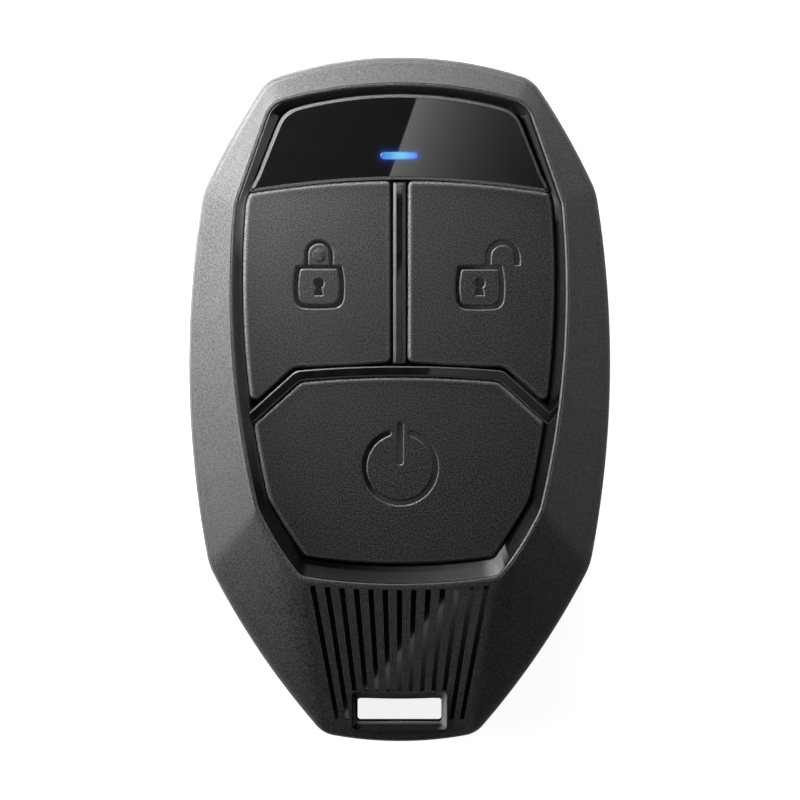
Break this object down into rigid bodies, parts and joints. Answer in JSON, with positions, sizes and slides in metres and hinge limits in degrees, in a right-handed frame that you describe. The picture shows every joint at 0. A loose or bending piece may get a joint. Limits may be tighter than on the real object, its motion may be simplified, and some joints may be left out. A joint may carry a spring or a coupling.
{
  "type": "remote start key fob",
  "caption": "Faceted black key fob with lock, unlock and remote start buttons, light bar, ribbed grille and strap slot.",
  "frame": {"origin": "centre of the rectangle round the outline, on the plane of the rear face", "axes": "+Z out of the button face, +Y along the length towards the window end, +X towards the unlock button's side"},
  "size_m": [0.043, 0.07, 0.0127],
  "materials": {
    "shell_plastic": "fine-grained satin black",
    "button_plastic": "fine-grained satin black",
    "icon_gloss": "polished black recess",
    "gloss_trim": "polished black",
    "window_gloss": "polished black lens",
    "light_blue": "lit blue light guide",
    "keypad_rubber": "matte black silicone",
    "board_green": "green solder mask",
    "part_white": "white lamp body",
    "chip_black": "moulded black",
    "part_tan": "fired ceramic",
    "ferrite": "dark sintered ferrite",
    "tin_metal": "bright tin plate",
    "copper_wire": "enamelled copper wire",
    "battery_steel": "nickel-plated can",
    "spring_metal": "nickel-plated spring strip",
    "screw_steel": "blackened steel"
  },
  "bodies": {
    "fob": {"front_shell": "shell_plastic", "rear_shell": "shell_plastic", "trim_frame": "gloss_trim", "indicator_window": "window_gloss", "light_pipe": "light_blue", "grille_insert": "gloss_trim", "keypad_membrane": "keypad_rubber", "circuit_board": "board_green", "indicator_led": "part_white", "microcontroller": "chip_black", "radio_chip": "chip_black", "crystal": "tin_metal", "chip_capacitors": "part_tan", "antenna_core": "ferrite", "antenna_winding": "copper_wire", "coin_battery": "battery_steel", "negative_contact": "spring_metal", "positive_contact": "spring_metal", "case_screws": "screw_steel", "lock_switch_body": "chip_black", "unlock_switch_body": "chip_black", "start_switch_body": "chip_black", "lock_switch_cover": "tin_metal", "unlock_switch_cover": "tin_metal", "start_switch_cover": "tin_metal"},
    "lock_key": {"lock_button": "button_plastic"},
    "unlock_key": {"unlock_button": "button_plastic"},
    "start_key": {"start_button": "button_plastic"},
    "lock_pin": {"lock_plunger": "chip_black"},
    "unlock_pin": {"unlock_plunger": "chip_black"},
    "start_pin": {"start_plunger": "chip_black"},
    "door": {"battery_door": "shell_plastic"}
  },
  "joints": [
    {"name": "lock_press", "type": "slide", "parent": "fob", "child": "lock_key", "axis": [0, 0, -1], "range_m": [0, 0.0004], "stiffness_N_per_m": 4000, "deforming": ["keypad_membrane"]},
    {"name": "unlock_press", "type": "slide", "parent": "fob", "child": "unlock_key", "axis": [0, 0, -1], "range_m": [0, 0.0004], "stiffness_N_per_m": 4000, "deforming": ["keypad_membrane"]},
    {"name": "start_press", "type": "slide", "parent": "fob", "child": "start_key", "axis": [0, 0, -1], "range_m": [0, 0.0004], "stiffness_N_per_m": 4000, "deforming": ["keypad_membrane"]},
    {"name": "lock_pin_slide", "type": "slide", "parent": "fob", "child": "lock_pin", "axis": [0, 0, -1], "range_m": [0, 0.0004]},
    {"name": "unlock_pin_slide", "type": "slide", "parent": "fob", "child": "unlock_pin", "axis": [0, 0, -1], "range_m": [0, 0.0004]},
    {"name": "start_pin_slide", "type": "slide", "parent": "fob", "child": "start_pin", "axis": [0, 0, -1], "range_m": [0, 0.0004]},
    {"name": "door_slide", "type": "slide", "parent": "fob", "child": "door", "axis": [0, 1, 0], "range_m": [0, 0.03]}
  ],
  "couplings": [
    {"joint": "lock_pin_slide", "follows": "lock_press", "ratio": 1},
    {"joint": "unlock_pin_slide", "follows": "unlock_press", "ratio": 1},
    {"joint": "start_pin_slide", "follows": "start_press", "ratio": 1}
  ]
}
